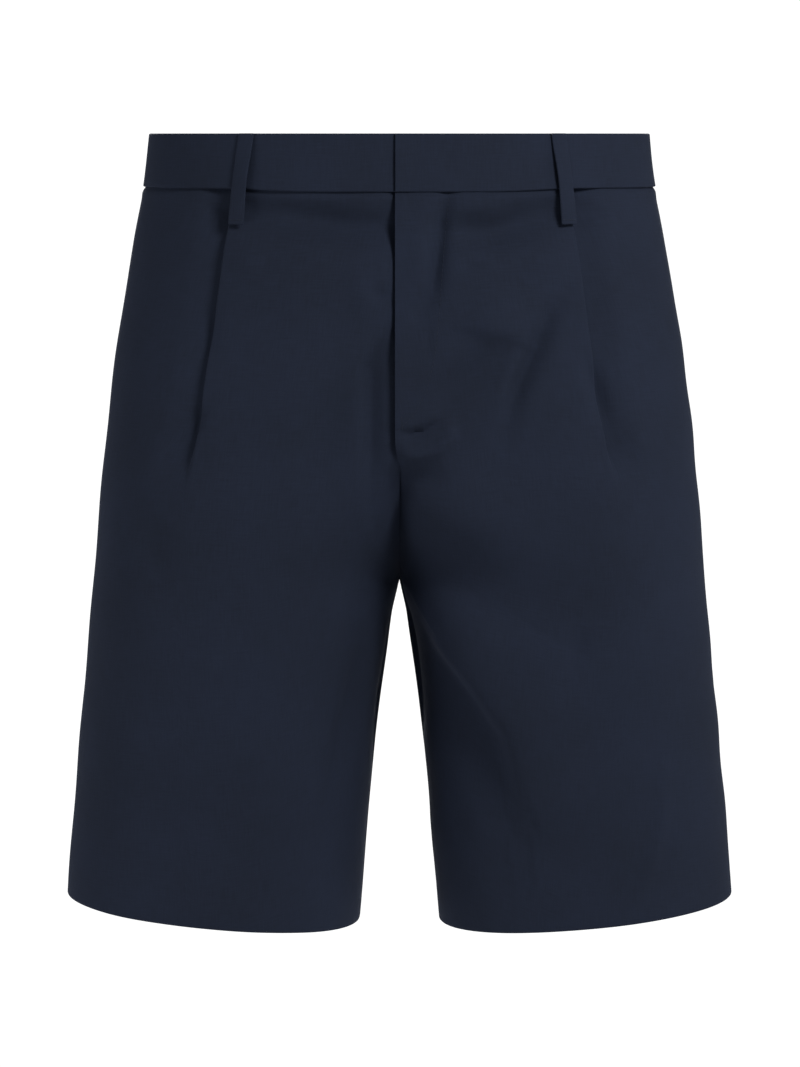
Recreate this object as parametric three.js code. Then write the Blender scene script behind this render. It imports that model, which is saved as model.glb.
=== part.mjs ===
// Bermuda shorts with one pleat at each front, worn and hollow, in millimetres.
// +Z is up, the front faces -Y and the wearer's left is +X. The origin is the middle of the
// waist opening, where the wearer holds the shorts up.
import * as THREE from 'three';
import { mergeVertices } from 'three/addons/utils/BufferGeometryUtils.js';

// Driving dimensions
const CLOTH_WALL = 1.2;
const BAND_WALL = 2;
const BAND_HEIGHT = 36;
const BAND_PROUD = 0.5;
const SEAM_GAP = 0.3;
const FORK_HEIGHT = -286.5;
const FORK_ROWS_START = -200;
const HEM_HEIGHT = -502.4;

// The form at some heights: reach of the cloth to the side and, on a leg, towards the other leg,
// where the side seam lies in depth, reach from there to the front and back, and squareness
const FORM_COLUMNS = ['height', 'outer', 'inner', 'middle', 'front', 'back', 'square'];
const FORM = [
  [4, 160.8, 0, 0, 113.5, 113, 2.12],
  [-36, 165.2, 0, 0, 117, 118, 2.2],
  [-69, 171.6, 0, 1, 120, 124, 2.3],
  [-107, 178.4, 0, 3, 123, 130, 2.42],
  [-159, 186.1, 0, 5, 123.5, 135, 2.52],
  [-209, 191.7, 0, 7, 121, 132, 2.54],
  [-250, 195.7, 0, 8, 117, 125, 2.5],
  [-286.5, 198.8, 0, 9, 113, 117, 2.46],
  [-310, 200.9, 5.0, 9, 110, 112.5, 2.43],
  [-340, 203.7, 9.3, 9, 106, 107, 2.4],
  [-380, 207.3, 14.7, 8.5, 100, 100.5, 2.35],
  [-420, 210.8, 18.9, 8, 94.5, 95, 2.28],
  [-460, 214.3, 22.3, 8, 89, 90, 2.22],
  [-506, 217.9, 26.2, 8, 84, 86, 2.15],
];

// How far the rows of cloth lean: up towards the back, and up towards the side at the hem
const WAIST_LEAN_BACK = 0.035;
const HEM_LEAN_BACK = 0.045;
const HEM_LEAN_SIDE = 0.093;
const LEAN_START = -205;

// The waist seam rises a little towards the sides
const SEAM_RISE = 1.8;
const SEAM_RISE_START = 55;
const SEAM_RISE_WIDTH = 60;

// The seat seam as a curve from the upright centre seam to the fork, for front and back:
// where it leaves the upright, how gently it does so, and how round it is at the fork
const CROTCH = {
  front: { start: -110, onset: 4.5, bow: 1.2 },
  back: { start: -60, onset: 3.4, bow: 1.3 },
};

// The fly: the left front laps over the right one down to the fly's foot
const FLY_LAP = 2.5;
const FLY_FOOT = -188;
const FLY_FADE = 24;
const FLY_LIFT = 0.9;
const FLY_LIFT_WIDTH = 14;

// The pleats: their places at the waist seam, their slant, their depth and where they open out
const PLEATS = {
  left_front: { atWaist: 105, slant: 0.147 },
  right_front: { atWaist: 103, slant: 0.148 },
};
const PLEAT_DEPTH = 14;
const PLEAT_SHALLOWEST = 0.8;
const PLEAT_SHUT = -168;
const PLEAT_OPEN = -226;
const PLEAT_RADIUS = 0.75;
const PLEAT_CLEAR = 2;
const PLEAT_STEP_WIDTH = 34;
const PLEAT_TURN_PARTS = 4;

// Belt loops
const LOOP_WIDTH = 10.5;
const LOOP_WALL = 1.4;
const LOOP_FOOT = -57;
const LOOP_BOW = 1.4;
const LOOPS = [
  { name: 'belt_loop_front_left', side: 1, face: 'front', top: 98.7, foot: 105.5 },
  { name: 'belt_loop_front_right', side: -1, face: 'front', top: 94.8, foot: 101.5 },
  { name: 'belt_loop_side_left', side: 1, face: 'back', top: 136, foot: 141 },
  { name: 'belt_loop_side_right', side: -1, face: 'back', top: 136, foot: 141 },
  { name: 'belt_loop_back', side: 1, face: 'back', top: 0, foot: 0 },
];

// The largest folds: a path in the front or back view, half width, and depth (below 0 is a trough)
const FOLD_COLUMNS = ['panel', 'x1', 'z1', 'x2', 'z2', 'x3', 'z3', 'halfWidth', 'depth'];
const FOLDS = [
  ['left_front', 4, -286, 38, -362, 68, -420, 13, -7.5],
  ['left_front', 4, -258, 50, -292, 94, -298, 20, -5],
  ['left_front', 100, -108, 80, -148, 64, -192, 10, -3.5],
  ['left_front', 72, -140, 46, -152, 22, -182, 13, -4],
  ['left_front', 42, -112, 58, -121, 76, -122, 14, 3],
  ['left_front', 31, -40, 25, -75, 14, -114, 9, -3],
  ['left_front', 34, -62, 62, -61, 98, -48, 11, -4.5],
  ['right_front', 17, -300, 30, -375, 47, -474, 13, -6],
  ['right_front', 16, -262, 20, -290, 22, -312, 10, -3.5],
  ['right_front', 8, -132, 17, -170, 16.5, -240, 10, -3],
  ['right_front', 102, -46, 60, -53, 2, -60, 11, -4.5],
  ['right_front', 146, -246, 157, -262, 152, -284, 14, -3],
  ['left_back', 10, -246, 56, -288, 118, -316, 15, -3.4],
  ['left_back', 16, -300, 44, -350, 64, -430, 14, -3],
  ['left_back', 30, -80, 70, -98, 118, -104, 14, -1.8],
  ['right_back', 12, -252, 54, -298, 106, -330, 14, -3.2],
  ['right_back', 18, -310, 38, -360, 56, -450, 14, -2.8],
  ['right_back', 34, -72, 80, -92, 124, -94, 15, -1.7],
];

// How near a seam the folds fade out, so that the sewn edges keep together
const SEAM_HOLD = 14;

// Points nearer than this are one
const WELD = 1e-4;

const NAVY = '#232833';

// A smooth step from 0 to 1
function ease(value) {
  const t = Math.min(Math.max(value, 0), 1);
  return t * t * (3 - 2 * t);
}

// One column of the form's table at any height, on a smooth curve through its rows
function formValue(column, height) {
  const c = FORM_COLUMNS.indexOf(column);
  const last = FORM.length - 1;
  let i = 0;
  while (i < last - 1 && height < FORM[i + 1][0]) i += 1;
  const slope = (k) => {
    const low = Math.max(k - 1, 0);
    const high = Math.min(k + 1, last);
    return (FORM[high][c] - FORM[low][c]) / (FORM[high][0] - FORM[low][0]);
  };
  const span = FORM[i + 1][0] - FORM[i][0];
  const t = (height - FORM[i][0]) / span;
  const bend = (1 + 2 * t) * (1 - t) ** 2 * FORM[i][c] + t * t * (3 - 2 * t) * FORM[i + 1][c];
  return bend + span * (t * (1 - t) ** 2 * slope(i) - t * t * (1 - t) * slope(i + 1));
}

// The section of half the shorts at a height, for the front or the back
function section(height, face) {
  const outer = formValue('outer', height);
  const square = formValue('square', height);
  const { start, onset, bow } = CROTCH[face];
  let centre = (outer + formValue('inner', height)) / 2;
  if (height > FORK_HEIGHT) {
    const way = Math.max((start - height) / (start - FORK_HEIGHT), 0);
    const reach = (1 - way ** onset) ** (1 / bow);
    const across = (1 - reach ** square) ** (1 / square);
    centre = (outer * across) / (1 + across);
  }
  return {
    height,
    centre,
    square,
    half: outer - centre,
    middle: formValue('middle', height),
    depth: formValue(face, height) * (face === 'front' ? -1 : 1),
    leanSide: HEM_LEAN_SIDE * ease((LEAN_START - height) / (LEAN_START - HEM_HEIGHT)),
    leanBack: WAIST_LEAN_BACK + (HEM_LEAN_BACK - WAIST_LEAN_BACK) * (height / HEM_HEIGHT),
  };
}

const SECTION_STEPS = 160;

// The section as a dense line from its inner edge to the side seam, with the length along it
function sectionLine(height, face, cut) {
  const s = section(height, face);
  const power = 2 / s.square;
  const share = (cut - s.centre) / s.half;
  const whole = height <= FORK_HEIGHT;
  const from = whole ? Math.PI : Math.acos(Math.sign(share) * Math.abs(share) ** (1 / power));
  const line = [];
  let length = 0;
  const nearSeam = 1 - ease(Math.abs(height + BAND_HEIGHT) / BAND_HEIGHT);
  for (let k = 0; k <= SECTION_STEPS; k += 1) {
    const angle = from * (1 - k / SECTION_STEPS);
    const c = Math.cos(angle);
    const x = Math.max(s.centre + s.half * Math.sign(c) * Math.abs(c) ** power, cut);
    const y = s.middle + s.depth * Math.max(Math.sin(angle), 0) ** power;
    const rise = SEAM_RISE * nearSeam * ease((x - SEAM_RISE_START) / SEAM_RISE_WIDTH);
    const z = s.height + rise + s.leanSide * (x - s.centre) + s.leanBack * (y - s.middle);
    const point = new THREE.Vector3(x, y, z);
    if (k > 0) length += point.distanceTo(line[k - 1].point);
    line.push({ point, length });
  }
  return { line, length, trimStart: whole ? SEAM_GAP / 2 : 0, trimEnd: SEAM_GAP / 2 };
}

// The point and the direction at a length along a line
function along(curve, length) {
  const { line } = curve;
  let k = 1;
  while (k < line.length - 1 && line[k].length < length) k += 1;
  const a = line[k - 1];
  const b = line[k];
  const t = (length - a.length) / (b.length - a.length);
  const point = a.point.clone().lerp(b.point, t);
  const way = b.point.clone().sub(a.point).normalize();
  return { point, way };
}

// The length along a line at which it reaches a distance from the middle plane
function lengthAt(curve, x) {
  const hit = curve.line.findIndex((station) => station.point.x >= x);
  const a = curve.line[hit - 1];
  const b = curve.line[hit];
  return a.length + ((x - a.point.x) / (b.point.x - a.point.x)) * (b.length - a.length);
}

// Steps along and into the cloth through the pleat: a turn under, a run back and a turn out
function pleatSteps(depth, turn) {
  const arc = PLEAT_RADIUS * Math.PI;
  const parts = PLEAT_TURN_PARTS;
  const steps = [];
  let across = 0;
  let inward = 0;
  const go = (length, heading) => {
    across += length * Math.cos(heading);
    inward += length * Math.sin(heading);
    steps.push({ across, inward });
  };
  for (let k = 0; k < parts; k += 1) go(arc / parts, (turn * (k + 0.5)) / parts);
  go(depth, turn);
  for (let k = 0; k < parts; k += 1) go(arc / parts, turn * (1 - (k + 0.5) / parts));
  return steps;
}

const FRONT_COLUMNS = { toPleat: 11, fromPleat: 7 };
const BACK_COLUMNS = { toMiddle: 9, fromMiddle: 6 };
const BACK_MIDDLE_FROM_SIDE = 115;

// The row of mid-cloth points of a front at a height, from its inner edge to the side seam
function frontRow(height, cut, { atWaist, slant }) {
  const curve = sectionLine(height, 'front', cut);
  const pleatHeight = Math.max(height, PLEAT_OPEN);
  const top = height === pleatHeight ? curve : sectionLine(pleatHeight, 'front', cut);
  const pleatX = atWaist + slant * (-BAND_HEIGHT - pleatHeight);
  const fromSide = top.length - lengthAt(top, pleatX);
  const pleat = curve.length - fromSide;
  const shutWay = ease((height - PLEAT_OPEN) / (PLEAT_SHUT - PLEAT_OPEN));
  const depthWay = Math.max((height - PLEAT_SHUT) / (-BAND_HEIGHT - PLEAT_SHUT), 0);
  const depth = Math.max(PLEAT_DEPTH * depthWay, PLEAT_SHALLOWEST);
  const row = [];
  const put = (length, inward) => {
    const { point, way } = along(curve, length);
    const inside = new THREE.Vector3(-way.y, way.x, 0).normalize();
    row.push(point.addScaledVector(inside, inward));
  };
  for (let k = 0; k <= FRONT_COLUMNS.toPleat; k += 1) {
    put(curve.trimStart + (pleat - curve.trimStart) * (k / FRONT_COLUMNS.toPleat), 0);
  }
  const steps = pleatSteps(depth, Math.PI * shutWay);
  steps.forEach((step) => put(pleat + step.across, step.inward));
  const end = steps[steps.length - 1];
  const clear = Math.max(pleat, pleat + end.across) + PLEAT_CLEAR;
  const last = curve.length - curve.trimEnd;
  for (let k = 0; k <= FRONT_COLUMNS.fromPleat; k += 1) {
    const length = clear + (last - clear) * (k / FRONT_COLUMNS.fromPleat);
    put(length, end.inward * (1 - ease((length - clear) / PLEAT_STEP_WIDTH)));
  }
  return row;
}

// The row of mid-cloth points of a back at a height, from its inner edge to the side seam
function backRow(height, cut) {
  const curve = sectionLine(height, 'back', cut);
  const first = curve.trimStart;
  const middle = curve.length - BACK_MIDDLE_FROM_SIDE;
  const last = curve.length - curve.trimEnd;
  const row = [];
  for (let k = 0; k < BACK_COLUMNS.toMiddle; k += 1) {
    row.push(along(curve, first + (middle - first) * (k / BACK_COLUMNS.toMiddle)).point);
  }
  for (let k = 0; k <= BACK_COLUMNS.fromMiddle; k += 1) {
    row.push(along(curve, middle + (last - middle) * (k / BACK_COLUMNS.fromMiddle)).point);
  }
  return row;
}

const ROWS = { seat: 12, fork: 9, leg: 10 };
const LEG_ROWS_WIDEN = 1.6;

// The heights of the rows: even down the seat, close together at the fork, wider down the leg
function rowHeights() {
  const heights = [];
  const seatTop = -BAND_HEIGHT - SEAM_GAP;
  for (let k = 0; k < ROWS.seat; k += 1) {
    heights.push(seatTop + (FORK_ROWS_START - seatTop) * (k / ROWS.seat));
  }
  for (let k = 0; k < ROWS.fork; k += 1) {
    const way = Math.sin((Math.PI / 2) * (k / ROWS.fork));
    heights.push(FORK_ROWS_START + (FORK_HEIGHT - FORK_ROWS_START) * way);
  }
  for (let k = 0; k <= ROWS.leg; k += 1) {
    heights.push(FORK_HEIGHT + (HEM_HEIGHT - FORK_HEIGHT) * (k / ROWS.leg) ** LEG_ROWS_WIDEN);
  }
  return heights;
}

// The average direction of the steps into and out of a point
function direction(before, here, after) {
  const way = new THREE.Vector3();
  if (before) way.add(here.clone().sub(before).normalize());
  if (after) way.add(after.clone().sub(here).normalize());
  return way.normalize();
}

// Outward directions at each point of a grid whose rows run to the side seam and go down
function outwardWays(grid, face) {
  const sign = face === 'front' ? -1 : 1;
  return grid.map((row, i) => row.map((point, j) => {
    const across = direction(row[j - 1], point, row[j + 1]);
    const down = direction(grid[i - 1]?.[j], point, grid[i + 1]?.[j]);
    return across.cross(down).normalize().multiplyScalar(sign);
  }));
}

// The same directions held steady across a front's pleat, where the cloth itself turns over
function steadyWays(ways) {
  const first = FRONT_COLUMNS.toPleat - 1;
  const last = FRONT_COLUMNS.toPleat + 2 * PLEAT_TURN_PARTS + 3;
  return ways.map((row) => row.map((way, j) => {
    if (j <= first || j >= last) return way;
    return row[first].clone().lerp(row[last], (j - first) / (last - first)).normalize();
  }));
}

// How far the folds of a panel move a point outwards
function foldReach(panel, point) {
  let reach = 0;
  for (const values of FOLDS) {
    const fold = Object.fromEntries(FOLD_COLUMNS.map((name, k) => [name, values[k]]));
    if (fold.panel === panel) {
      const corners = [[fold.x1, fold.z1], [fold.x2, fold.z2], [fold.x3, fold.z3]];
      reach += fold.depth * foldShare(corners, fold.halfWidth, point);
    }
  }
  return reach;
}

const FOLD_END_SHARE = 0.25;

// The share of a fold's depth at a point: full on its path, less beside it and at its ends
function foldShare(corners, halfWidth, point) {
  let share = 0;
  for (let k = 0; k < corners.length - 1; k += 1) {
    const [ax, az] = corners[k];
    const runX = corners[k + 1][0] - ax;
    const runZ = corners[k + 1][1] - az;
    const t = ((point.x - ax) * runX + (point.z - az) * runZ) / (runX ** 2 + runZ ** 2);
    const held = Math.min(Math.max(t, 0), 1);
    const off = Math.hypot(point.x - ax - held * runX, point.z - az - held * runZ) / halfWidth;
    const way = (k + held) / (corners.length - 1);
    const strength = FOLD_END_SHARE + (1 - FOLD_END_SHARE) * Math.sin(Math.PI * way);
    share = Math.max(share, strength * Math.exp(-off * off));
  }
  return share;
}

// A closed wall about a grid of mid-cloth points, mirrored for the wearer's right
function wallGeometry(grid, ways, thickness, outwardIsClockwise, side) {
  const rows = grid.length;
  const columns = grid[0].length;
  const positions = [];
  const layer = (offset) => grid.forEach((row, i) => row.forEach((point, j) => {
    const moved = point.clone().addScaledVector(ways[i][j], offset);
    positions.push(moved.x * side, moved.y, moved.z);
  }));
  layer(thickness / 2);
  layer(-thickness / 2);
  const outer = (i, j) => i * columns + j;
  const inner = (i, j) => rows * columns + i * columns + j;
  const faces = [];
  const flip = outwardIsClockwise === (side > 0);
  const quad = (a, b, c, d) => {
    if (flip) faces.push(a, c, b, a, d, c);
    else faces.push(a, b, c, a, c, d);
  };
  for (let i = 0; i < rows - 1; i += 1) {
    for (let j = 0; j < columns - 1; j += 1) {
      quad(outer(i, j), outer(i + 1, j), outer(i + 1, j + 1), outer(i, j + 1));
      quad(inner(i, j), inner(i, j + 1), inner(i + 1, j + 1), inner(i + 1, j));
    }
    quad(outer(i, 0), inner(i, 0), inner(i + 1, 0), outer(i + 1, 0));
    quad(outer(i, columns - 1), outer(i + 1, columns - 1), inner(i + 1, columns - 1),
      inner(i, columns - 1));
  }
  for (let j = 0; j < columns - 1; j += 1) {
    quad(outer(0, j), outer(0, j + 1), inner(0, j + 1), inner(0, j));
    quad(outer(rows - 1, j), inner(rows - 1, j), inner(rows - 1, j + 1), outer(rows - 1, j + 1));
  }
  const geometry = new THREE.BufferGeometry();
  geometry.setAttribute('position', new THREE.Float32BufferAttribute(positions, 3));
  geometry.setIndex(faces);
  const closed = mergeVertices(geometry, WELD);
  closed.computeVertexNormals();
  return closed;
}

function cloth() {
  return new THREE.MeshStandardMaterial({ color: NAVY, roughness: 0.85, metalness: 0 });
}

function namedMesh(name, geometry) {
  const mesh = new THREE.Mesh(geometry, cloth());
  mesh.name = name;
  return mesh;
}

// 1 along the fly and 0 below its foot
function flyShare(height) {
  return ease((height - FLY_FOOT + FLY_FADE) / FLY_FADE);
}

// Where a front's centre edge is: over the middle on the left, short of it on the right
function centreCut(height, side) {
  return SEAM_GAP / 2 - side * FLY_LAP * flyShare(height);
}

// How far the left front stands out along the fly
function flyLift(point) {
  return FLY_LIFT * flyShare(point.z) * (1 - ease((point.x + FLY_LAP) / FLY_LIFT_WIDTH));
}

// The share of the folds at a point of a row: none at the sewn edges, whole along the fly
function foldHold(row, point, face) {
  const fly = face === 'front' ? flyShare(point.z) : 0;
  const nearCentre = Math.max(ease(point.distanceTo(row[0]) / SEAM_HOLD), fly);
  return nearCentre * ease(point.distanceTo(row[row.length - 1]) / SEAM_HOLD);
}

// A leg panel: its rows, moved out by its folds, as a wall whose outer face is on the form
function panel(name, face, side) {
  const makeRow = face === 'front' ? frontRow : backRow;
  const cutAt = (height) => (face === 'front' ? centreCut(height, side) : SEAM_GAP / 2);
  const plain = rowHeights().map((height) => makeRow(height, cutAt(height), PLEATS[name]));
  const ways = face === 'front' ? steadyWays(outwardWays(plain, face)) : outwardWays(plain, face);
  const grid = plain.map((row, i) => row.map((point, j) => {
    const lift = name === 'left_front' ? flyLift(point) : 0;
    const out = foldReach(name, point) * foldHold(row, point, face) + lift - CLOTH_WALL / 2;
    return point.clone().addScaledVector(ways[i][j], out);
  }));
  const moved = outwardWays(grid, face);
  return namedMesh(name, wallGeometry(grid, moved, CLOTH_WALL, face === 'back', side));
}

const BAND_GRID = { rows: 3, columns: 22 };

// One row of the waistband's half, from the front lap round the side to the back seam
function bandRow(height, frontCut) {
  const front = sectionLine(height, 'front', frontCut);
  const back = sectionLine(height, 'back', SEAM_GAP / 2);
  const total = front.length + back.length;
  const row = [];
  for (let k = 0; k <= BAND_GRID.columns; k += 1) {
    const length = total * (k / BAND_GRID.columns);
    const onFront = length <= front.length;
    row.push(onFront ? along(front, length).point : along(back, total - length).point);
  }
  return row;
}

function waistbandHalf(name, side) {
  const frontCut = SEAM_GAP / 2 - side * FLY_LAP;
  const grid = [];
  for (let k = 0; k <= BAND_GRID.rows; k += 1) {
    grid.push(bandRow(-BAND_HEIGHT * (k / BAND_GRID.rows), frontCut));
  }
  const ways = outwardWays(grid, 'front');
  const middle = grid.map((row, i) => row.map((point, j) => {
    const lift = side > 0 && point.y < 0 ? flyLift(point) : 0;
    return point.clone().addScaledVector(ways[i][j], BAND_PROUD - BAND_WALL / 2 + lift);
  }));
  return namedMesh(name, wallGeometry(middle, ways, BAND_WALL, false, side));
}

const LOOP_GRID = { rows: 8, columns: 2 };

// A belt loop: a strip laid over the band and the cloth below it, bowed out between its ends
function beltLoop({ name, side, face, top, foot }) {
  const grid = [];
  const ways = [];
  for (let i = 0; i <= LOOP_GRID.rows; i += 1) {
    const wayDown = i / LOOP_GRID.rows;
    const curve = sectionLine(LOOP_FOOT * wayDown, face, -LOOP_WIDTH);
    const centre = top + (foot - top) * wayDown;
    const bow = LOOP_BOW * Math.sin(Math.PI * wayDown) ** 2;
    const out = BAND_PROUD + SEAM_GAP + LOOP_WALL / 2 + bow;
    const middle = lengthAt(curve, centre);
    grid.push([]);
    ways.push([]);
    for (let j = 0; j <= LOOP_GRID.columns; j += 1) {
      const offset = LOOP_WIDTH * (j / LOOP_GRID.columns - 0.5);
      const { point, way } = along(curve, middle + offset);
      const sign = face === 'front' ? 1 : -1;
      const outward = new THREE.Vector3(way.y * sign, -way.x * sign, 0).normalize();
      grid[i].push(point.addScaledVector(outward, out));
      ways[i].push(outward);
    }
  }
  return namedMesh(name, wallGeometry(grid, ways, LOOP_WALL, face === 'back', side));
}

const shorts = new THREE.Group();
shorts.add(panel('left_front', 'front', 1));
shorts.add(panel('right_front', 'front', -1));
shorts.add(panel('left_back', 'back', 1));
shorts.add(panel('right_back', 'back', -1));
shorts.add(waistbandHalf('left_waistband', 1));
shorts.add(waistbandHalf('right_waistband', -1));
LOOPS.forEach((loop) => shorts.add(beltLoop(loop)));

export default shorts;
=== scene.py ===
import math

import bpy
import numpy as np
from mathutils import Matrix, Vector
from mathutils.bvhtree import BVHTree


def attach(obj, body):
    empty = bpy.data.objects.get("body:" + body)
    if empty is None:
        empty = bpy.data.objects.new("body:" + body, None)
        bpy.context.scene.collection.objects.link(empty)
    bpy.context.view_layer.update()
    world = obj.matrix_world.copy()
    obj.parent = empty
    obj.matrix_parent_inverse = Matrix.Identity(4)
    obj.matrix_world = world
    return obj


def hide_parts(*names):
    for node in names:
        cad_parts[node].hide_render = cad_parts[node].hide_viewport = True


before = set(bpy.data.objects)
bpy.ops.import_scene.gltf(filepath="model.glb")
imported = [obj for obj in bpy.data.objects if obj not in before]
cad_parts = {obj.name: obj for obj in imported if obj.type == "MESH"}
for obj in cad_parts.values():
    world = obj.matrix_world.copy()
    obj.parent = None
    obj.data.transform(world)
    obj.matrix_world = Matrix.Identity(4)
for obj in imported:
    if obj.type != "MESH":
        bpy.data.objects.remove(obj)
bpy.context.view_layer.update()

# Bermuda shorts with a pleat at each front, worn and hollow. Tables hold millimetres, as the
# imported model's own sizes do, and meshes hold metres. The front faces -Y, and +X is the
# wearer's left.
MM = 0.001


# The photograph's view
# A long lens a little below the waist, level with the waistband's top edge as it rises to the
# back, so that edge shows as a straight line. Soft boxes and a white room light the cloth.
EYE = Vector((0.0004, -2.6, -0.091))
AIM = Vector((0.0004, 0.0, -0.2594))
LENS = 135.0
SENSOR = 36.0
FLOOR_HEIGHT = -1.05
FLOOR_RADIUS = 2.0
LOW_ROOM_LIGHT = 0.44
HIGH_ROOM_LIGHT = 0.1
SEEN_ROOM_LIGHT = 1.1
LOWEST_WAY_OUT = -0.6
FLOOR_CORNERS = 64


def linear(colour):
    """The linear colour of an sRGB hex value."""
    channels = [int(colour[k:k + 2], 16) / 255 for k in (1, 3, 5)]
    return [c / 12.92 if c <= 0.04045 else ((c + 0.055) / 1.055) ** 2.4 for c in channels] + [1.0]


camera = bpy.data.objects.new("camera", bpy.data.cameras.new("camera"))
bpy.context.collection.objects.link(camera)
camera.data.lens = LENS
camera.data.sensor_width = SENSOR
camera.location = EYE
camera.rotation_euler = (AIM - EYE).to_track_quat("-Z", "Y").to_euler()
bpy.context.scene.camera = camera
bpy.context.scene.view_settings.view_transform = "Standard"

world = bpy.data.worlds.new("white_room")
bpy.context.scene.world = world
world.use_nodes = True
wall_white = world.node_tree.nodes["Background"]
wall_white.inputs["Color"].default_value = linear("#ffffff")
ray = world.node_tree.nodes.new("ShaderNodeLightPath")
way_out = world.node_tree.nodes.new("ShaderNodeTexCoord")
parts = world.node_tree.nodes.new("ShaderNodeSeparateXYZ")
height_light = world.node_tree.nodes.new("ShaderNodeMapRange")
height_light.inputs["From Min"].default_value = LOWEST_WAY_OUT
height_light.inputs["To Min"].default_value = LOW_ROOM_LIGHT
height_light.inputs["To Max"].default_value = HIGH_ROOM_LIGHT
seen = world.node_tree.nodes.new("ShaderNodeMix")
seen.inputs["B"].default_value = SEEN_ROOM_LIGHT
for plug, socket in ((parts.inputs["Vector"], way_out.outputs["Generated"]),
                     (height_light.inputs["Value"], parts.outputs["Z"]),
                     (seen.inputs["Factor"], ray.outputs["Is Camera Ray"]),
                     (seen.inputs["A"], height_light.outputs["Result"]),
                     (wall_white.inputs["Strength"], seen.outputs["Result"])):
    world.node_tree.links.new(socket, plug)

LIGHT_COLUMNS = ("name", "place", "size", "watts")
LIGHTS = [
    ("soft_box_left", (2.1, -0.35, -0.95), 1.2, 12.0),
    ("soft_box_right", (-2.0, -0.7, -0.85), 1.2, 27.0),
    ("high_soft_box", (1.3, -1.7, 1.1), 0.7, 48.0),
    ("back_light", (0.0, 2.25, 1.05), 1.2, 180.0),
]
for row in LIGHTS:
    light = dict(zip(LIGHT_COLUMNS, row))
    lamp = bpy.data.objects.new(light["name"], bpy.data.lights.new(light["name"], "AREA"))
    bpy.context.collection.objects.link(lamp)
    lamp.data.size = light["size"]
    lamp.data.energy = light["watts"]
    lamp.location = Vector(light["place"])
    lamp.rotation_euler = (AIM - lamp.location).to_track_quat("-Z", "Y").to_euler()


def put_node(tree, kind, links=(), **settings):
    """Adds a node to a tree: links are (input, socket) and settings name inputs or properties."""
    node = tree.nodes.new(kind)
    for name, value in settings.items():
        if hasattr(node, name):
            setattr(node, name, value)
        else:
            node.inputs[name.replace("_", " ").title()].default_value = value
    for name, socket in links:
        tree.links.new(socket, node.inputs[name])
    return node


floor_corners = [(math.cos(a) * FLOOR_RADIUS, math.sin(a) * FLOOR_RADIUS, FLOOR_HEIGHT)
                 for a in np.linspace(0, 2 * math.pi, FLOOR_CORNERS + 1)[:-1]]
floor_mesh = bpy.data.meshes.new("floor")
floor_mesh.from_pydata(floor_corners, [], [list(range(len(floor_corners)))])
floor = bpy.data.objects.new("floor", floor_mesh)
bpy.context.collection.objects.link(floor)
paint = bpy.data.materials.new("matt_white_studio_paint")
paint.use_nodes = True
paint_shader = paint.node_tree.nodes["Principled BSDF"]
paint_shader.inputs["Base Color"].default_value = linear("#fdfdfd")
paint_shader.inputs["Roughness"].default_value = 1.0
paint_shader.inputs["Specular IOR Level"].default_value = 0.0
floor_mesh.materials.append(paint)
floor.visible_diffuse = False


# The cloth
# Fine plain-woven navy cotton and wool blend with a dry, matt face. Threads 0.3 mm apart are
# too fine to show, so the slubs of the yarn are drawn 0.8 mm wide and 14 mm long.
# A soft sheen from loose fibres lightens the cloth where it turns away.
NAVY = "#1f2430"
NAVY_LIGHTER = "#232938"
SLUB_WIDTH = 0.8
SLUB_LENGTH = 14.0
CLOUD_SIZE = 70.0
SLUB_RELIEF = 0.05
SHADE_RANGE = (1.15, 1.85)
CLOTH_ROUGHNESS = 0.9
CLOTH_SHINE = 0.06
SHEEN = "#7f8db0"
SHEEN_WEIGHT = 0.03
SHEEN_ROUGHNESS = 0.4


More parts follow.
